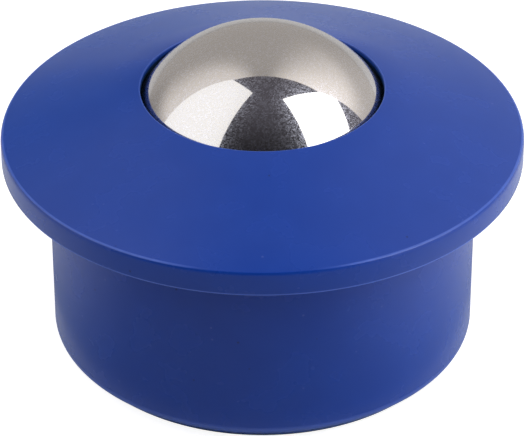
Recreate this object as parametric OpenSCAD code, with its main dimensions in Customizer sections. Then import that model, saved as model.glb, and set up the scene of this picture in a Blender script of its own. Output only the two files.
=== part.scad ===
// Ball transfer unit: a flanged, drop-in unit with one load ball that rolls in every direction.
// Origin: on the axis, at the seating face under the flange. +Z points up, towards the load.
// The load ball runs on rows of small support balls in a steel cup. A stepped plug and an
// internal circlip close the housing from below.

/* [Load ball] */
// Diameter of the load ball
load_ball_d = 30; // [29:0.1:30.5]
// Height of the load ball's top above the seating face
ball_rise = 13.6; // [13.2:0.1:14.2]

/* [Housing] */
// Diameter of the flange
flange_d = 55; // [52:0.5:60]
// Thickness of the flange at its edge
flange_edge = 2.6; // [2:0.1:3.4]
// Height of the conical crown above the seating face
crown_h = 7.65; // [7.2:0.05:7.8]
// Diameter of the mouth that the load ball looks out of
mouth_d = 25.5; // [25:0.1:26.5]
// Diameter of the body that drops into the table
body_d = 45.2; // [44.4:0.1:48]
// Depth of the body below the seating face
body_depth = 22.1; // [22:0.1:24]
// Radial size of the chamfer round the foot
foot_chamfer_r = 1.7; // [0.8:0.1:1.8]
// Axial size of the chamfer round the foot
foot_chamfer_h = 1.7; // [0.8:0.1:2.5]
// Radius on the flange's two edges
edge_round = 0.25; // [0.1:0.05:0.6]
// Gap between the load ball and the lip that holds it in
lip_gap = 0.2; // [0.15:0.05:0.3]

/* [Support balls] */
// Diameter of a support ball
support_ball_d = 3.175; // [3:0.025:3.175]
// Least gap between neighbouring support balls of a row
ball_spacing = 0.03; // [0.02:0.01:0.06]
// Running gap between a ball and its tracks
track_gap = 0.05; // [0.03:0.01:0.08]

/* [Cup, seal and retainer] */
// Wall of the pressed steel cup
cup_wall = 1.2; // [0.8:0.1:1.2]
// Outer diameter of the felt seal
seal_d = 35.9; // [34:0.1:37]
// Height of the felt seal
seal_h = 2.1; // [1.5:0.1:2.3]
// Gap between the load ball and the retaining ring
retainer_gap = 0.3; // [0.2:0.05:0.6]

/* [Base plug and circlip] */
// Height of the plug's rim above its shoulder
plug_rim_h = 6.6; // [4:0.1:8]
// Diameter of the boss under the plug
plug_boss_d = 28.4; // [24:0.1:28.6]
// Depth of the boss's face inside the foot
plug_recess = 0.2; // [0.1:0.05:0.4]
// Height of the circlip's upper face above the foot
clip_h = 2.5; // [2.3:0.1:2.8]
// Thickness of the circlip
clip_t = 1.2; // [1:0.05:1.2]
// Depth of the circlip's groove
groove_depth = 1.15; // [0.8:0.05:1.3]
// Half angle between the circlip's two lugs
lug_angle = 12; // [11:0.5:16]

/* [Hidden] */
$fn = 96;
ball_fn = 40;        // on the small balls
eps = 0.02;          // seating gap between curved faces
bore_gap = 0.05;     // round parts in the housing's bore

load_r = load_ball_d / 2;
ball_z = ball_rise - load_r;                       // height of the load ball's centre
support_r = support_ball_d / 2;
pitch_r = load_r + track_gap + support_r;          // sphere that holds the support balls' centres
cup_in = pitch_r + support_r + track_gap;
cup_out = cup_in + cup_wall;
bore_r = cup_out + bore_gap;

rows = 8;                                          // rows round the centre ball, the last at the equator
row_step = 90 / rows;

flange_r = flange_d / 2;
body_r = body_d / 2;
mouth_r = mouth_d / 2;
lip_r = load_r + lip_gap;

retainer_z = ball_z + support_r + 0.1;             // underside of the retaining ring, above the top row
bore_top = 2.2;                                    // shoulder that stops the retaining ring
seal_top = bore_top + seal_h + 0.1;                // roof of the seal's pocket

foot_z = -body_depth;
clip_z = foot_z + clip_h - clip_t;                 // underside of the circlip
shoulder_z = foot_z + clip_h;                      // underside of the plug's shoulder
clip_r = bore_r + groove_depth - 0.05;
clip_in = clip_r - 2.65;
lug_r = 2.5;
lug_at = clip_in - 1;

blue = [0.16, 0.28, 0.58];
steel = [0.72, 0.72, 0.70];
dark_steel = [0.45, 0.46, 0.48];
felt = [0.20, 0.20, 0.20];
acetal = [0.12, 0.12, 0.13];

// Waste to cut from the convex corner b, between a and c, to leave the radius r
module corner_waste(a, b, c, r) {
    u = (a - b) / norm(a - b);
    v = (c - b) / norm(c - b);
    half = acos(u * v) / 2;
    m = (u + v) / norm(u + v);
    difference() {
        polygon([b + u * r / tan(half), b - m * r, b + v * r / tan(half)]);
        translate(b + m * r / sin(half)) circle(r = r);
    }
}

// Half section of the outside: foot, body, flange edge, conical crown and mouth
module housing_outline() {
    foot = [body_r - foot_chamfer_r, foot_z];
    wall_low = [body_r, foot_z + foot_chamfer_h];
    seat = [body_r, 0];
    rim_low = [flange_r, 0];
    rim_high = [flange_r, flange_edge];
    lip = [mouth_r, crown_h];
    difference() {
        polygon([[0, foot_z], foot, wall_low, seat, rim_low, rim_high, lip, [0, crown_h]]);
        corner_waste(seat, rim_low, rim_high, edge_round);
        corner_waste(rim_low, rim_high, lip, edge_round);
        corner_waste([0, foot_z], foot, wall_low, edge_round);
        corner_waste(foot, wall_low, seat, 1);
    }
}

// Half section of the space inside: mouth, spherical lip, seal pocket, bore, groove and lead-in
module housing_cavity() {
    square([mouth_r, crown_h + 1]);
    intersection() {
        translate([0, ball_z]) circle(r = lip_r);
        square([lip_r + 1, crown_h + 1]);
    }
    square([seal_d / 2 + 0.05, seal_top]);
    translate([0, foot_z - 1]) square([bore_r, body_depth + 1 + bore_top]);
    translate([0, clip_z - 0.03]) square([bore_r + groove_depth, clip_t + 0.06]);
    polygon([[0, foot_z - 1], [bore_r + 1.4, foot_z - 1], [bore_r, foot_z + 0.4], [0, foot_z + 0.4]]);
}

module housing() {
    color(blue) rotate_extrude() difference() {
        housing_outline();
        housing_cavity();
        corner_waste([flange_r, flange_edge], [mouth_r, crown_h], [mouth_r, crown_h - 1], 0.12);
    }
}

// Felt ring under the lip; its inner face follows the load ball
module wiper_seal() {
    color(felt) rotate_extrude() difference() {
        translate([0, bore_top + 0.05]) square([seal_d / 2, seal_h]);
        translate([0, ball_z]) circle(r = load_r + track_gap);
    }
}

// Ring above the top row: it keeps the support balls in the cup and carries the seal
module ball_retainer() {
    color(acetal) rotate_extrude() difference() {
        translate([0, retainer_z]) square([cup_out, bore_top - retainer_z]);
        translate([0, ball_z]) circle(r = load_r + retainer_gap);
        corner_waste([0, bore_top], [cup_out, bore_top], [cup_out, 0], 0.3);
    }
}

module load_ball() {
    color(steel) translate([0, 0, ball_z]) sphere(r = load_r, $fn = 128);
}

// Radius and height of row k, and how many balls fit round it
function row_r(k) = pitch_r * sin(k * row_step);
function row_z(k) = ball_z - pitch_r * cos(k * row_step);
function row_count(k) = floor(180 / asin((support_r + ball_spacing / 2) / row_r(k)));

// One ring of support balls, turned half a step against the row below
module support_row(k) {
    n = row_count(k);
    color(steel) for (i = [0 : n - 1])
        rotate([0, 0, (i + (k % 2) / 2) * 360 / n])
            translate([row_r(k), 0, row_z(k)]) sphere(r = support_r, $fn = ball_fn);
}

module support_ball_centre() {
    color(steel) translate([0, 0, ball_z - pitch_r]) sphere(r = support_r, $fn = ball_fn);
}
module support_balls_row_1() { support_row(1); }
module support_balls_row_2() { support_row(2); }
module support_balls_row_3() { support_row(3); }
module support_balls_row_4() { support_row(4); }
module support_balls_row_5() { support_row(5); }
module support_balls_row_6() { support_row(6); }
module support_balls_row_7() { support_row(7); }
module support_balls_row_8() { support_row(8); }

// Pressed and hardened cup: a half sphere with a short straight rim
module ball_cup() {
    color(dark_steel) rotate_extrude() difference() {
        union() {
            intersection() {
                translate([0, ball_z]) circle(r = cup_out);
                translate([0, ball_z - cup_out]) square([cup_out, cup_out]);
            }
            translate([0, ball_z]) square([cup_out, retainer_z - ball_z]);
        }
        translate([0, ball_z]) circle(r = cup_in);
        translate([0, ball_z]) square([cup_in, retainer_z - ball_z + 1]);
        corner_waste([cup_in, retainer_z], [cup_out, retainer_z], [cup_out, ball_z], 0.3);
    }
}

// Plug that closes the bore: a dished seat for the cup, a shoulder for the circlip and a boss
module base_plug() {
    boss_r = plug_boss_d / 2;
    boss_z = foot_z + plug_recess;
    rim_z = shoulder_z + plug_rim_h;
    color(acetal) rotate_extrude() difference() {
        union() {
            translate([0, shoulder_z]) square([cup_out, plug_rim_h]);
            polygon([[0, boss_z], [boss_r - 0.5, boss_z], [boss_r, boss_z + 0.5],
                     [boss_r, shoulder_z + 1], [0, shoulder_z + 1]]);
        }
        translate([0, ball_z]) circle(r = cup_out + eps);
        corner_waste([0, rim_z], [cup_out, rim_z], [cup_out, shoulder_z], 0.5);
    }
}

// Internal circlip: a ring that is widest opposite its gap, with two lugs for the pliers
module circlip() {
    color(dark_steel) translate([0, 0, clip_z]) linear_extrude(height = clip_t) difference() {
        union() {
            difference() {
                circle(r = clip_r);
                translate([0, -0.5]) circle(r = clip_in);
            }
            for (s = [-1, 1]) rotate(s * lug_angle) translate([0, -lug_at]) circle(r = lug_r);
        }
        translate([-1.6, -clip_r - 1]) square([3.2, 10]);
        for (s = [-1, 1]) rotate(s * lug_angle) translate([0, -lug_at + 0.2]) circle(r = 1);
    }
}

housing();
wiper_seal();
ball_retainer();
load_ball();
support_ball_centre();
support_balls_row_1();
support_balls_row_2();
support_balls_row_3();
support_balls_row_4();
support_balls_row_5();
support_balls_row_6();
support_balls_row_7();
support_balls_row_8();
ball_cup();
base_plug();
circlip();
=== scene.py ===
"""Ball transfer unit: a blue moulded housing, a polished load ball, and the studio they stand in.

Every size is in metres, in the part's own frame: +Z up the unit's axis, z = 0 at the flange's seat.
"""

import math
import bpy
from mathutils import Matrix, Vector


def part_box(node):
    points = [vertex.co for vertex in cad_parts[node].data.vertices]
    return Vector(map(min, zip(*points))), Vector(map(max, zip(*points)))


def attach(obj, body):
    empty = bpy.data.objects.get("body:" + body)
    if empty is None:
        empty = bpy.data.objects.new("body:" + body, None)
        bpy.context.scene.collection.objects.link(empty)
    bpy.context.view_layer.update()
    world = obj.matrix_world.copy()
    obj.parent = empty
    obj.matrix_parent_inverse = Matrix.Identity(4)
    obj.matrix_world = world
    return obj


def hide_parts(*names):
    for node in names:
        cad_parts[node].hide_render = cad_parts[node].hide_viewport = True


bl_info = {
    "name": "Ball transfer unit",
    "version": (1, 0, 0),
    "blender": (4, 5, 0),
    "location": "View3D > Sidebar > Ball unit",
    "description": "Builds the visible pieces and finishes of a flanged ball transfer unit",
    "category": "Object",
}

import bmesh
import bpy
from mathutils import Matrix, Vector

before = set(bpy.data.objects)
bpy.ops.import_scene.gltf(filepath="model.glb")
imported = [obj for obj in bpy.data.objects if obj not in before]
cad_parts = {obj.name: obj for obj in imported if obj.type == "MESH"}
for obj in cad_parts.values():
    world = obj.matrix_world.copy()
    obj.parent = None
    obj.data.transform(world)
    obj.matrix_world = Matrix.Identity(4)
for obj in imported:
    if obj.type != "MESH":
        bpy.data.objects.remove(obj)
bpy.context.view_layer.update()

MM = 0.001
TURN_STEPS = 256  # faces round a turned piece
ROUND_STEPS = 4  # faces across a rounded edge
SMOOTH_ANGLE = math.radians(32)  # a sharper edge than this shows as a crease
MERGE = 2e-6  # distance under which two points are one
ON_RING = 5 * MERGE  # distance within which a point lies on a ring
WHITE = (1.0, 1.0, 1.0)

HOUSING_LOW, HOUSING_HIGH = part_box("housing")
BALL_LOW, BALL_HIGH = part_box("load_ball")
PLUG_LOW, PLUG_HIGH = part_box("base_plug")
CLIP_LOW, CLIP_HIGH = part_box("circlip")
BALL_RADIUS = (BALL_HIGH[2] - BALL_LOW[2]) / 2
BALL_CENTRE = (BALL_HIGH[2] + BALL_LOW[2]) / 2
FOOT = HOUSING_LOW[2]
LIP_GAP = 0.2 * MM  # between the ball and the lip round it

INNER_FINISHES = {
    "wiper_seal": "dense_felt",
    "ball_retainer": "black_acetal",
    "ball_cup": "hardened_steel",
    "circlip": "spring_steel",
    "support_ball_centre": "bearing_steel",
    **{f"support_balls_row_{row}": "bearing_steel" for row in range(1, 9)},
}


# ---------------------------------------------------------------- shader maths


class Wire:
    """A node's output; arithmetic on it adds Math nodes."""

    def __init__(self, graph, socket):
        self.graph = graph
        self.socket = socket

    def __add__(self, other):
        return self.graph.math("ADD", self, other)

    __radd__ = __add__

    def __sub__(self, other):
        return self.graph.math("SUBTRACT", self, other)

    def __rsub__(self, other):
        return self.graph.math("SUBTRACT", other, self)

    def __mul__(self, other):
        return self.graph.math("MULTIPLY", self, other)

    __rmul__ = __mul__

    def __truediv__(self, other):
        return self.graph.math("DIVIDE", self, other)

    def __neg__(self):
        return self.graph.math("MULTIPLY", self, -1)

    def rise(self, start, end):
        """0 at the start, 1 at the end, with a soft step between."""
        return self.graph.node(
            "ShaderNodeMapRange",
            {"interpolation_type": "SMOOTHSTEP"},
            {"Value": self, "From Min": start, "From Max": end},
        )


class Graph:
    """A node tree under construction."""

    def __init__(self, tree):
        self.tree = tree
        tree.nodes.clear()

    def node(self, kind, settings=None, sockets=None, out=0):
        """Add a node: its settings first, then the values or links of its sockets."""
        new = self.tree.nodes.new(kind)
        for key, value in (settings or {}).items():
            setattr(new, key, value)
        for key, value in (sockets or {}).items():
            if isinstance(value, Wire):
                self.tree.links.new(value.socket, new.inputs[key])
            else:
                new.inputs[key].default_value = rgba(value) if new.inputs[key].type == "RGBA" else value
        return Wire(self, new.outputs[out]) if len(new.outputs) else new

    def math(self, operation, a, b=0.0):
        return self.node("ShaderNodeMath", {"operation": operation}, {0: a, 1: b})

    def largest(self, first, *rest):
        for one in rest:
            first = self.math("MAXIMUM", first, one)
        return first

    def axes(self, vector):
        """The three numbers of a vector or colour."""
        parts = self.node("ShaderNodeSeparateXYZ", None, {"Vector": vector})
        return [Wire(self, socket) for socket in parts.socket.node.outputs]

    def ray_is(self, *kinds):
        """1 for the named kinds of ray, 0 for the rest."""
        return self.largest(*(self.node("ShaderNodeLightPath", out=f"Is {kind} Ray") for kind in kinds))

    def mix(self, factor, a, b):
        """Blend two colours; a colour is a tuple or a wire."""
        return self.node(
            "ShaderNodeMix",
            {"data_type": "RGBA"},
            {"Factor": factor, "A": rgba(a), "B": rgba(b)},
            out="Result",
        )

    def point(self):
        """The point on the piece, in metres."""
        return self.node("ShaderNodeTexCoord", out="Object")

    def noise(self, scale, detail=2.0, roughness=0.5):
        sockets = {"Vector": self.point(), "Scale": scale, "Detail": detail, "Roughness": roughness}
        return self.node("ShaderNodeTexNoise", None, sockets)

    def cells(self, scale, turned=(0, 0, 0), out="Distance"):
        """Scattered cells: the distance from the nearest one's point, or that cell's random colour."""
        where = self.node("ShaderNodeMapping", None, {"Vector": self.point(), "Rotation": turned})
        return self.node("ShaderNodeTexVoronoi", None, {"Vector": where, "Scale": scale}, out)

    def bump(self, height, distance, strength):
        sockets = {"Height": height, "Distance": distance, "Strength": strength}
        return self.node("ShaderNodeBump", None, sockets)

    def add(self, one, two):
        return self.node("ShaderNodeAddShader", None, {0: one, 1: two})

    def glow(self, colour, level, kind="ShaderNodeEmission"):
        """A shader that gives off the colour times the level."""
        bright = self.node("ShaderNodeVectorMath", {"operation": "SCALE"}, {0: colour, "Scale": level})
        return self.node(kind, None, {"Color": bright})

    def surface(self, shader):
        self.node("ShaderNodeOutputMaterial", None, {"Surface": shader})

    def principled(self, **sockets):
        named = {key.replace("_", " "): value for key, value in sockets.items()}
        return self.node("ShaderNodeBsdfPrincipled", None, named)


def rgba(colour):
    return colour if isinstance(colour, Wire) else (*tuple(colour)[:3], 1.0)


def new_material(name):
    material = bpy.data.materials.new(name)
    material.use_nodes = True
    return material, Graph(material.node_tree)


# ---------------------------------------------------------------- finishes


def moulded_blue(sizes, finish):
    """Fine matt blue plastic, faintly clouded and thinly specked, with painted highlights on its edges,
    painted light on the cone behind the ball, and painted shade in the lip, round the foot, under the
    flange's edge and on the cone's left.
    """
    material, g = new_material("moulded_blue")
    x, y, z = g.axes(g.point())
    out = g.math("SQRT", x * x + y * y)
    ahead, side, back = -y / out, -x / out, y / out
    front = ahead.rise(0.3, 0.6)
    off_centre = 1 - ahead.rise(0.93, 0.99)
    cloud = g.noise(220, detail=3.0)
    grain = g.noise(5200, detail=2.0)
    highlight_noise = g.noise(700, detail=3.0, roughness=0.6)
    flange_top = (sizes.flange_radius - 0.2 * MM, sizes.flange_edge + 0.07 * MM)
    flange_low = (sizes.flange_radius, 0)
    mouth = (sizes.mouth_radius, sizes.crown_height)
    foot_bend = (sizes.body_radius - 0.1 * MM, FOOT + sizes.foot_chamfer)

    def edge_band(ring, width):
        """1 on a turned edge, 0 beyond the width from it."""
        across, along = out - ring[0], z - ring[1]
        return (across * across + along * along).rise(width**2, (0.3 * width) ** 2)

    # painted highlights: paler lines on the flange's upper and lower edges, the mouth's rim and the foot's
    # bend, broken up by noise; the upper line is left out dead ahead, the lower one drawn only at the
    # front
    edges = g.largest(
        0.6 * off_centre * edge_band(flange_top, 0.16 * MM),
        1.5 * front * edge_band(flange_low, 0.2 * MM),
        0.5 * edge_band(mouth, 0.2 * MM),
        0.4 * edge_band(foot_bend, 0.6 * MM),
    )
    painted_highlight = edges * (0.55 + 0.9 * highlight_noise)
    tone = g.mix(cloud.rise(0.3, 0.7), finish.blue_deep, finish.blue_light)
    pale_speck, dark_speck = (0.10, 0.14, 0.45), (0.002, 0.01, 0.08)
    tone = g.mix(0.4 * g.cells(330).rise(0.05, 0.03), tone, pale_speck)
    tone = g.mix(0.7 * g.cells(270, (0.4, 0.9, 0.2)).rise(0.045, 0.025), tone, dark_speck)
    # the painted highlights take the paler tone
    colour = g.mix(painted_highlight, tone, finish.blue_highlight)
    # painted light: a faint pale patch on the cone behind the ball, lifting the shade the ball casts there
    behind_ball_light = (0.6, 0.65, 1.0)
    near = out.rise(sizes.mouth_radius + 5 * MM, sizes.mouth_radius + 1.5 * MM)
    colour = g.mix(0.05 * near * back.rise(0.6, 0.85), colour, behind_ball_light)
    # painted shade: dark inside the lip, in a thin line round the foot, and under the flange's edge away
    # from the front; there the surface also loses its reflection
    shade_tone = (0.001, 0.004, 0.03)
    lip, above = BALL_RADIUS + LIP_GAP, z - BALL_CENTRE
    in_lip = g.math("SQRT", out * out + above * above).rise(lip + 0.25 * MM, lip + 0.05 * MM)
    in_lip = in_lip * z.rise(sizes.crown_height - 0.2 * MM, sizes.crown_height - 0.5 * MM)
    at_foot = z.rise(FOOT + 0.45 * MM, FOOT + 0.2 * MM)
    under_edge = 0.8 * (1 - front) * edge_band(flange_low, 0.25 * MM)
    painted_shade = g.largest(in_lip, at_foot, under_edge)
    colour = g.mix(painted_shade, colour, shade_tone)
    look = {
        "Base_Color": colour,
        "Roughness": finish.blue_roughness + 0.05 * (cloud - 0.5) + 0.08 * painted_highlight,
        "Normal": g.bump(grain, 0.02 * MM, 0.3),
    }
    # a lit copy, and a shaded copy without its specular reflection, which the painted shade masks pick
    lit_copy, shaded_copy = g.principled(**look), g.principled(**look)
    for shader, gloss in ((lit_copy, 0.38), (shaded_copy, 0.0)):
        even = shader.socket.node.inputs
        even["IOR"].default_value = 1.5
        even["Specular IOR Level"].default_value = gloss
        even["Sheen Weight"].default_value = 0.16
        even["Sheen Roughness"].default_value = 0.5
        even["Sheen Tint"].default_value = (0.22, 0.52, 1.0, 1.0)
    # painted shade: the cone's left side and left back lose their reflection
    left_shade = 0.3 * side.rise(0.85, 1.0) + 0.2 * side.rise(0.0, 0.5) * back.rise(-0.35, 0.0)
    left_shade = left_shade * z.rise(sizes.flange_edge - 0.2 * MM, sizes.flange_edge + 0.1 * MM)
    g.surface(g.node("ShaderNodeMixShader", None, {0: g.largest(left_shade, painted_shade), 1: lit_copy, 2: shaded_copy}))
    return material


def polished_stainless(finish):
    """Polished ball steel: crisp reflections under the haze of its finest scratches."""
    material, g = new_material("polished_stainless")
    grain, fleck, _ = g.axes(g.cells(8500, out="Color"))
    haze = g.noise(260, detail=2.0)
    crisp = g.principled(
        Base_Color=finish.ball_steel,
        Metallic=1.0,
        Roughness=0.03 + 0.02 * haze,
    )
    scratched = g.principled(
        Base_Color=g.mix(grain, [0.1 * c for c in finish.ball_haze], finish.ball_haze),
        Metallic=1.0,
        Roughness=0.275 + 0.02 * haze,
        Normal=g.bump(fleck, 0.0015 * MM, 1.0),
    )
    # never less than a quarter scratched, so the grain stays in sight everywhere
    share = 0.26 + 0.29 * grain
    g.surface(g.node("ShaderNodeMixShader", None, {0: share, 1: crisp, 2: scratched}))
    return material


def plain_steel(name, colour, roughness, grain_scale):
    """Unpolished steel, by its colour, its roughness and how fine its grain is."""
    material, g = new_material(name)
    grain = g.noise(grain_scale, detail=3.0)
    g.surface(
        g.principled(
            Base_Color=g.mix(grain, [0.85 * c for c in colour], colour),
            Metallic=1.0,
            Roughness=roughness + 0.12 * (grain - 0.5),
            Normal=g.bump(grain, 0.01 * MM, 0.3),
        )
    )
    return material


def black_acetal():
    """Turned black plastic of the plug and the retaining ring."""
    material, g = new_material("black_acetal")
    rings = g.noise(900, detail=2.0)
    g.surface(
        g.principled(
            Base_Color=g.mix(rings, (0.012, 0.012, 0.013), (0.022, 0.022, 0.024)),
            Roughness=0.42 + 0.1 * (rings - 0.5),
            Normal=g.bump(rings, 0.02 * MM, 0.3),
        )
    )
    return material


def dense_felt():
    """Dark pressed felt of the wiper seal."""
    material, g = new_material("dense_felt")
    fibre = g.noise(3200, detail=4.0, roughness=0.7)
    g.surface(
        g.principled(
            Base_Color=g.mix(fibre, (0.02, 0.02, 0.02), (0.07, 0.068, 0.065)),
            Roughness=0.95,
            Normal=g.bump(fibre, 0.15 * MM, 0.8),
        )
    )
    return material


def finishes(scene):
    """Every finish of the unit, by name; each is made once."""
    if "moulded_blue" not in bpy.data.materials:
        finish = scene.unit_finish
        moulded_blue(scene.unit_sizes, finish)
        polished_stainless(finish)
        plain_steel("bearing_steel", (0.62, 0.62, 0.62), 0.12, 1500)
        plain_steel("hardened_steel", (0.25, 0.25, 0.26), 0.38, 1200)
        plain_steel("spring_steel", (0.10, 0.10, 0.105), 0.42, 1400)
        black_acetal()
        dense_felt()
    return bpy.data.materials


def give(piece, material):
    piece.data.materials.clear()
    piece.data.materials.append(material)


# ---------------------------------------------------------------- modelling helpers


def select_rings(piece, rings):
    """In edit mode, select the edges that lie on the given (radius, height) circles."""
    mesh = bmesh.from_edit_mesh(piece.data)
    bpy.ops.mesh.select_all(action="DESELECT")
    for edge in mesh.edges:
        ends = [(math.hypot(v.co.x, v.co.y), v.co.z) for v in edge.verts]
        for radius, height in rings:
            if all(abs(r - radius) < ON_RING and abs(z - height) < ON_RING for r, z in ends):
                edge.select_set(True)
    if not any(edge.select for edge in mesh.edges):
        raise RuntimeError(f"{piece.name}: no edge lies on {rings}")
    bmesh.update_edit_mesh(piece.data)


def turn(name, section, breaks):
    """Turn a half section of (radius, height) points about Z, then round each ring in breaks.

    A section whose last point is its first makes a closed ring; one that starts and ends at
    radius 0 makes a closed body.
    """
    on_axis = section[0][0] == 0
    points = section[1:-1] if on_axis else section
    radius, height = points[0]
    bpy.ops.object.select_all(action="DESELECT")
    bpy.ops.mesh.primitive_circle_add(
        vertices=TURN_STEPS,
        radius=radius,
        location=(0, 0, height),
        fill_type="TRIFAN" if on_axis else "NOTHING",
    )
    piece = bpy.context.object
    piece.name = piece.data.name = name
    bpy.ops.object.transform_apply(location=True, rotation=False, scale=False)
    bpy.ops.object.mode_set(mode="EDIT")
    bpy.ops.mesh.select_mode(type="EDGE")
    select_rings(piece, [points[0]])
    for (r0, z0), (r1, z1) in zip(points, points[1:]):
        bpy.ops.mesh.extrude_edges_move(TRANSFORM_OT_translate={"value": (0, 0, z1 - z0)})
        bpy.ops.transform.resize(value=(r1 / r0, r1 / r0, 1), center_override=(0, 0, z1))
    if on_axis:
        bpy.ops.mesh.extrude_edges_move(
            TRANSFORM_OT_translate={"value": (0, 0, section[-1][1] - points[-1][1])}
        )
        bpy.ops.mesh.merge(type="CENTER")
    bpy.ops.mesh.select_all(action="SELECT")
    bpy.ops.mesh.remove_doubles(threshold=MERGE)
    bpy.ops.mesh.normals_make_consistent(inside=False)
    for ring, size in breaks:
        select_rings(piece, [ring])
        bpy.ops.mesh.bevel(offset=size, offset_type="OFFSET", segments=ROUND_STEPS, affect="EDGES")
    bpy.ops.object.mode_set(mode="OBJECT")
    bpy.ops.object.shade_smooth_by_angle(angle=SMOOTH_ANGLE)
    return piece


def blend(a, b, t):
    """The point at share t of the way from a to b."""
    return (a[0] + (b[0] - a[0]) * t, a[1] + (b[1] - a[1]) * t)


def sphere_arc(radius, centre, r_from, r_to, count):
    """Points down the inside of a sphere, from one section radius to a wider one."""
    start, end = math.asin(r_from / radius), math.asin(r_to / radius)
    angles = [start + (end - start) * i / count for i in range(count + 1)]
    return [(radius * math.sin(a), centre + radius * math.cos(a)) for a in angles]


def panel(name, corners):
    """A flat four-cornered stage panel."""
    bpy.ops.object.select_all(action="DESELECT")
    bpy.ops.mesh.primitive_plane_add(size=2)
    piece = bpy.context.object
    piece.name = piece.data.name = name
    bpy.ops.object.mode_set(mode="EDIT")
    bpy.ops.mesh.select_mode(type="VERT")
    for (x, y), corner in zip(((-1, -1), (1, -1), (1, 1), (-1, 1)), corners):
        bpy.ops.mesh.select_all(action="DESELECT")
        mesh = bmesh.from_edit_mesh(piece.data)
        vertex = min(mesh.verts, key=lambda v: (v.co - Vector((x, y, 0))).length)
        move = corner - vertex.co
        vertex.select_set(True)
        bmesh.update_edit_mesh(piece.data)
        bpy.ops.transform.translate(value=move)
    bpy.ops.object.mode_set(mode="OBJECT")
    return piece


# ---------------------------------------------------------------- what a user may change


class UnitSizes(bpy.types.PropertyGroup):
    """Outside sizes of the unit."""

    flange_radius: bpy.props.FloatProperty(
        name="Flange radius", description="Radius of the flange's edge",
        default=HOUSING_HIGH[0], unit="LENGTH", precision=5,
    )
    flange_edge: bpy.props.FloatProperty(
        name="Flange edge", description="Height of the flange's upright edge",
        default=2.6 * MM, unit="LENGTH", precision=5,
    )
    crown_height: bpy.props.FloatProperty(
        name="Crown height", description="Height of the mouth's rim above the seat",
        default=7.65 * MM, unit="LENGTH", precision=5,
    )
    mouth_radius: bpy.props.FloatProperty(
        name="Mouth radius", description="Radius of the mouth round the ball",
        default=12.75 * MM, unit="LENGTH", precision=5,
    )
    body_radius: bpy.props.FloatProperty(
        name="Body radius", description="Radius of the body under the flange",
        default=22.6 * MM, unit="LENGTH", precision=5,
    )
    foot_chamfer: bpy.props.FloatProperty(
        name="Foot chamfer", description="Size of the chamfer round the foot",
        default=1.7 * MM, unit="LENGTH", precision=5,
    )
    edge_round: bpy.props.FloatProperty(
        name="Edge rounding", description="Radius on the flange's lower edge",
        default=0.1 * MM, unit="LENGTH", precision=5,
    )


class UnitFinish(bpy.types.PropertyGroup):
    """Colours and gloss of the unit."""

    blue_deep: bpy.props.FloatVectorProperty(
        name="Blue, deep", description="Darker tone of the housing's plastic",
        default=(0.003, 0.042, 0.325), subtype="COLOR",
    )
    blue_light: bpy.props.FloatVectorProperty(
        name="Blue, light", description="Lighter tone of the housing's plastic",
        default=(0.004, 0.046, 0.345), subtype="COLOR",
    )
    # tone of the painted edge highlights
    blue_highlight: bpy.props.FloatVectorProperty(
        name="Blue, highlight", description="Paler tone painted along the housing's edges as a highlight",
        default=(0.08, 0.16, 0.62), subtype="COLOR",
    )
    blue_roughness: bpy.props.FloatProperty(
        name="Plastic roughness", description="Roughness of the housing's surface",
        default=0.27, min=0, max=1, subtype="FACTOR",
    )
    ball_steel: bpy.props.FloatVectorProperty(
        name="Ball steel", description="Reflected colour of the load ball",
        default=(0.8, 0.765, 0.73), subtype="COLOR",
    )
    ball_haze: bpy.props.FloatVectorProperty(
        name="Ball haze", description="Reflected colour of the load ball's finest scratches",
        default=(0.55, 0.56, 0.65), subtype="COLOR",
    )


class StudioLight(bpy.types.PropertyGroup):
    """Brightness of the studio's panels and paper."""

    left_box: bpy.props.FloatProperty(
        name="Left softbox", description="Brightness of the left softbox", default=1.52, min=0,
    )
    right_box: bpy.props.FloatProperty(
        name="Right softbox", description="Brightness of the right softbox", default=3.8, min=0,
    )
    paper: bpy.props.FloatProperty(
        name="Back paper", description="Brightness of the paper behind the unit", default=0.47, min=0,
    )
    room: bpy.props.FloatProperty(
        name="Room", description="Brightness of the unlit room overhead", default=0.085, min=0,
    )


# ---------------------------------------------------------------- pieces


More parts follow.
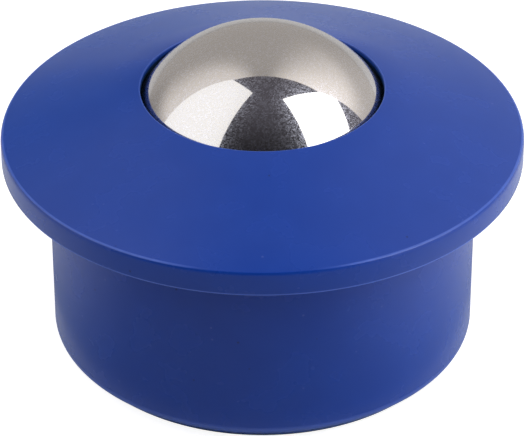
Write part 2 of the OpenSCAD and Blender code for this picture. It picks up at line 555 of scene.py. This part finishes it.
class UNIT_OT_housing(bpy.types.Operator):
    """Turn the blue housing: flange, conical crown, lip, bore and foot"""

    bl_idname = "ball_unit.housing"
    bl_label = "Housing"

    def execute(self, context):
        s = context.scene.unit_sizes
        lip = BALL_RADIUS + LIP_GAP
        seal_radius, seal_roof = 18.0 * MM, 4.4 * MM
        bore, bore_roof, lead_in = 19.525 * MM, 2.2 * MM, 0.4 * MM
        groove, groove_play = 20.675 * MM, 0.03 * MM
        groove_low, groove_high = CLIP_LOW[2] - groove_play, CLIP_HIGH[2] + groove_play
        crisp, mouth_round, wall_round, foot_round = 0.05 * MM, 0.166 * MM, 0.41 * MM, 0.04 * MM
        seal_inner = math.sqrt(lip**2 - (seal_roof - BALL_CENTRE) ** 2)
        rim = (s.mouth_radius, s.crown_height)
        flange_top, *shoulder = self.shoulder(rim, (s.flange_radius, s.flange_edge))
        flange_low = (s.flange_radius, 0)
        wall_low = (s.body_radius, FOOT + s.foot_chamfer)
        foot = (s.body_radius - s.foot_chamfer, FOOT)
        section = [
            rim,
            *[blend(rim, flange_top, t) for t in (0.25, 0.5, 0.75)],
            flange_top,
            *shoulder,
            flange_low,
            (s.body_radius, 0),
            wall_low,
            foot,
            (bore + lead_in, FOOT),
            (bore, FOOT + lead_in),
            (bore, groove_low),
            (groove, groove_low),
            (groove, groove_high),
            (bore, groove_high),
            (bore, bore_roof),
            (seal_radius, bore_roof),
            (seal_radius, seal_roof),
            *reversed(sphere_arc(lip, BALL_CENTRE, s.mouth_radius, seal_inner, 10)),
            rim,
        ]
        piece = turn(
            "housing_shell",
            section,
            [
                (flange_top, crisp), (flange_low, s.edge_round),
                (rim, mouth_round), (wall_low, wall_round), (foot, foot_round),
            ],
        )
        give(piece, finishes(context.scene)["moulded_blue"])
        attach(piece, "housing")
        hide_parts("housing")
        return {"FINISHED"}

    def shoulder(self, rim, corner):
        """The flange's upper edge: a crisp corner on the cone's line, eased into the upright edge."""
        lean, radius, steps = math.radians(35), 0.85 * MM, 6
        slope = (rim[1] - corner[1]) / (corner[0] - rim[0])
        inset = radius * (1 - math.cos(lean))
        top = corner[1] + slope * inset
        angles = [lean * (1 - i / steps) for i in range(steps + 1)]
        return [
            (corner[0] - radius * (1 - math.cos(a)), top - radius * (math.sin(lean) - math.sin(a)))
            for a in angles
        ]


class UNIT_OT_load_ball(bpy.types.Operator):
    """Shape the load ball from an evenly divided block"""

    bl_idname = "ball_unit.load_ball"
    bl_label = "Load ball"

    def execute(self, context):
        bpy.ops.object.select_all(action="DESELECT")
        bpy.ops.mesh.primitive_cube_add(size=BALL_RADIUS)
        piece = bpy.context.object
        piece.name = piece.data.name = "load_ball_polished"
        smooth = piece.modifiers.new("divide", "SUBSURF")
        smooth.levels = smooth.render_levels = 6
        cast = piece.modifiers.new("round", "CAST")
        cast.cast_type, cast.factor = "SPHERE", 1
        cast.use_radius_as_size, cast.size = False, BALL_RADIUS
        for name in ("divide", "round"):
            bpy.ops.object.modifier_apply(modifier=name)
        bpy.ops.object.mode_set(mode="EDIT")
        bpy.ops.mesh.select_all(action="SELECT")
        bpy.ops.transform.translate(value=(0, 0, BALL_CENTRE))
        bpy.ops.object.mode_set(mode="OBJECT")
        bpy.ops.object.shade_smooth()
        give(piece, finishes(context.scene)["polished_stainless"])
        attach(piece, "load_ball")
        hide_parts("load_ball")
        return {"FINISHED"}


class UNIT_OT_base_plug(bpy.types.Operator):
    """Turn the plug that closes the bore from below"""

    bl_idname = "ball_unit.base_plug"
    bl_label = "Base plug"

    def execute(self, context):
        dish, radius, boss, boss_edge, rim_round = 19.495 * MM, PLUG_HIGH[0], 14.2 * MM, 0.5 * MM, 0.3 * MM
        low, high, shoulder = PLUG_LOW[2], PLUG_HIGH[2], CLIP_HIGH[2]
        mouth = math.sqrt(dish**2 - (high - BALL_CENTRE) ** 2)
        start, end, steps = math.asin(mouth / dish), math.radians(1.5), 16
        bowl = [start + (end - start) * i / steps for i in range(steps + 1)]
        section = [
            (0, low), (boss - boss_edge, low), (boss, low + boss_edge), (boss, shoulder),
            (radius, shoulder), (radius, high),
            *[(dish * math.sin(a), BALL_CENTRE - dish * math.cos(a)) for a in bowl],
            (0, BALL_CENTRE - dish),
        ]
        piece = turn("base_plug_turned", section, [((radius, high), rim_round)])
        give(piece, finishes(context.scene)["black_acetal"])
        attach(piece, "housing")
        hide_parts("base_plug")
        return {"FINISHED"}


class UNIT_OT_inner_pieces(bpy.types.Operator):
    """Give the cup, seal, retainer, circlip and support balls their finishes"""

    bl_idname = "ball_unit.inner_pieces"
    bl_label = "Inner pieces"

    def execute(self, context):
        materials = finishes(context.scene)
        for node, material in INNER_FINISHES.items():
            give(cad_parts[node], materials[material])
        return {"FINISHED"}


# ---------------------------------------------------------------- studio


def cut_beyond(point, normal):
    """Cut away what the active piece has beyond a plane."""
    bpy.ops.object.mode_set(mode="EDIT")
    bpy.ops.mesh.select_all(action="SELECT")
    bpy.ops.mesh.bisect(plane_co=point, plane_no=normal, clear_outer=True)
    bpy.ops.object.mode_set(mode="OBJECT")


def emitter(name, level):
    """An evenly bright white surface."""
    material, g = new_material(name)
    g.surface(g.node("ShaderNodeEmission", None, {"Strength": level}))
    return material


class UNIT_OT_studio(bpy.types.Operator):
    """Set the pale floor, the paper sweep, two softboxes, the dark room and the camera"""

    bl_idname = "ball_unit.studio"
    bl_label = "Studio"

    def execute(self, context):
        light = context.scene.studio_light
        self.floor()
        self.shell(light.paper, light.room)
        centre = Vector((0, 0, BALL_CENTRE))
        # each box: its corner nearest the zenith, and its two sides
        left = ((-0.104, -0.051, 0.889), (-0.735, 0.9275, -0.35), (-0.545, -0.661, -0.5))
        right = ((0.236, -0.12, 0.896), (0.717, 0.4735, -0.05), (0.406, -0.564, -0.575))
        for name, sides, level, paper_edge in (
            ("softbox_left", left, light.left_box, (0.198, 1, -0.157)),
            ("softbox_right", right, light.right_box, (-0.309, 1, 0.027)),
        ):
            corner, back, out = map(Vector, sides)
            corner = centre + corner
            box = panel(name, [corner, corner + back, corner + back + out, corner + out])
            cut_beyond(centre, paper_edge)
            give(box, emitter(name, level))
            box.visible_camera = False
        self.world()
        self.camera(context)
        return {"FINISHED"}

    def floor(self):
        """Pale paper, white to the eye where nothing shades it."""
        bpy.ops.object.select_all(action="DESELECT")
        gap = 0.03 * MM  # keeps the foot's face clear of the paper
        bpy.ops.mesh.primitive_plane_add(size=6, location=(0, 0, FOOT - gap))
        floor = bpy.context.object
        floor.name = "floor"
        bpy.ops.object.transform_apply(location=True, rotation=False, scale=False)
        material, g = new_material("floor_paper")
        x, y, _ = g.axes(g.point())
        away = g.math("SQRT", x * x + y * y)
        # the angle round the unit, in radians: 0 at the back, negative on the left
        round_unit = g.math("ARCTAN2", x, y)
        left = round_unit.rise(-0.35, -0.8) * round_unit.rise(-2.3, -1.5)
        right = round_unit.rise(0.35, 0.8) * round_unit.rise(2.9, 1.9)
        back = round_unit.rise(-0.8, -0.35) * round_unit.rise(0.8, 0.35)
        lit = away.rise(0.021, 0.043) * (0.35 * left + 0.45 * right + 0.15 * back)
        by_foot = 0.25 * away.rise(0.0222, 0.0234) * away.rise(0.0262, 0.0245)
        paper = g.principled(Base_Color=(0.5, 0.5, 0.5), Roughness=0.9)
        paper.socket.node.inputs["Specular IOR Level"].default_value = 0.0
        to_the_eye = 0.88  # the light on the paper brings it up to white
        strength = (
            to_the_eye * g.ray_is("Camera")
            + (lit + by_foot) * g.ray_is("Glossy", "Transmission")
            + (1.7 * lit + by_foot) * g.ray_is("Diffuse")
        )
        g.surface(g.add(paper, g.glow(WHITE, strength)))
        give(floor, material)

    def shell(self, paper, room):
        """The studio round the unit: pale paper behind it, the unlit room in front and over it."""
        bpy.ops.object.select_all(action="DESELECT")
        bpy.ops.mesh.primitive_uv_sphere_add(segments=48, ring_count=24, radius=4)
        shell = bpy.context.object
        shell.name = "studio_shell"
        material, g = new_material("studio_shell")
        x, y, z = g.axes(g.node("ShaderNodeVectorMath", {"operation": "NORMALIZE"}, {0: g.point()}))
        # angles in radians: up from level, and round the unit from the back, negative on the left
        height = g.math("ARCSINE", z)
        round_unit = g.math("ARCTAN2", x, y)
        # the paper ends on three planes through the centre
        edge = g.largest(0.22 * z, 0.157 * z - 0.198 * x, 0.309 * x - 0.027 * z)
        behind = (y - edge).rise(-0.003, 0.003)
        right = round_unit.rise(0.15, 1.3) * height.rise(0.1, 0.55)
        left = round_unit.rise(-0.2, -0.9) * (y - edge).rise(0.6, 0.05) * height.rise(0.1, 0.4)
        left_foot = round_unit.rise(-0.6, -1.0) * height.rise(0.35, 0.1)
        right_foot = round_unit.rise(0.3, 0.8) * height.rise(0.35, 0.1)
        sheet = paper + 0.8 * right + 0.48 * left - 0.13 * left_foot + 0.17 * right_foot
        low = height.rise(0.35, 0.05)
        low_left = round_unit.rise(-2.2, -1.8) * round_unit.rise(-1.4, -1.6)
        low_right = round_unit.rise(2.6, 2.0) * round_unit.rise(1.5, 1.7)
        beside = round_unit.rise(1.0, 1.25) * round_unit.rise(1.85, 1.6) * height.rise(0.8, 0.5)
        overhead = height.rise(0.55, 1.45)
        dim = 0.2 * room + room * overhead + 0.1 * beside + low * (0.7 * low_left + 1.4 * low_right)
        level = dim + behind * (sheet - dim)
        cool, warm = (0.98, 0.92, 1.12), (1.06, 1.0, 0.94)
        g.surface(g.glow(g.mix(behind, cool, warm), level))
        give(shell, material)
        shell.visible_camera = False

    def world(self):
        world = bpy.data.worlds.new("studio_white")
        bpy.context.scene.world = world
        world.use_nodes = True
        g = Graph(world.node_tree)
        seen = g.ray_is("Camera", "Glossy", "Transmission")
        ground = g.glow(WHITE, 0.3 + 0.7 * seen, "ShaderNodeBackground")
        g.node("ShaderNodeOutputWorld", None, {"Surface": ground})

    def camera(self, context):
        distance, elevation, pitch = 0.33, math.radians(31.454), math.radians(33.11)
        aim_height = 2.6 * MM
        data = bpy.data.cameras.new("view")
        data.sensor_width, data.lens = 36, 215.4573
        data.clip_start, data.clip_end = 0.01, 20
        camera = bpy.data.objects.new("view", data)
        context.scene.collection.objects.link(camera)
        ahead, up = distance * math.cos(elevation), distance * math.sin(elevation)
        camera.location = (0, -ahead, aim_height + up)
        # a hair off level and off centre, as a hand-set camera is
        turn, roll = 0.00019, -0.0018
        camera.rotation_euler = (
            Matrix.Rotation(turn, 3, "Z")
            @ Matrix.Rotation(math.pi / 2 - pitch, 3, "X")
            @ Matrix.Rotation(roll, 3, "Z")
        ).to_euler()
        context.scene.camera = camera
        context.scene.view_settings.view_transform = "Standard"


class UNIT_PT_panel(bpy.types.Panel):
    """Lists the unit's sizes, finishes and build steps"""

    bl_idname = "UNIT_PT_panel"
    bl_label = "Ball unit"
    bl_space_type = "VIEW_3D"
    bl_region_type = "UI"
    bl_category = "Ball unit"

    def draw(self, context):
        layout = self.layout
        for group in (context.scene.unit_sizes, context.scene.unit_finish, context.scene.studio_light):
            box = layout.box()
            for key in group.__annotations__:
                box.prop(group, key)
        for step in STEPS:
            layout.operator(step.bl_idname)


STEPS = (UNIT_OT_housing, UNIT_OT_load_ball, UNIT_OT_base_plug, UNIT_OT_inner_pieces, UNIT_OT_studio)
CLASSES = (UnitSizes, UnitFinish, StudioLight, *STEPS, UNIT_PT_panel)


def register():
    for cls in CLASSES:
        bpy.utils.register_class(cls)
    bpy.types.Scene.unit_sizes = bpy.props.PointerProperty(type=UnitSizes)
    bpy.types.Scene.unit_finish = bpy.props.PointerProperty(type=UnitFinish)
    bpy.types.Scene.studio_light = bpy.props.PointerProperty(type=StudioLight)


def unregister():
    del bpy.types.Scene.unit_sizes, bpy.types.Scene.unit_finish, bpy.types.Scene.studio_light
    for cls in reversed(CLASSES):
        bpy.utils.unregister_class(cls)


def main():
    register()
    bpy.ops.ball_unit.studio()
    bpy.ops.ball_unit.housing()
    bpy.ops.ball_unit.load_ball()
    bpy.ops.ball_unit.base_plug()
    bpy.ops.ball_unit.inner_pieces()


if __name__ == "__main__":
    main()
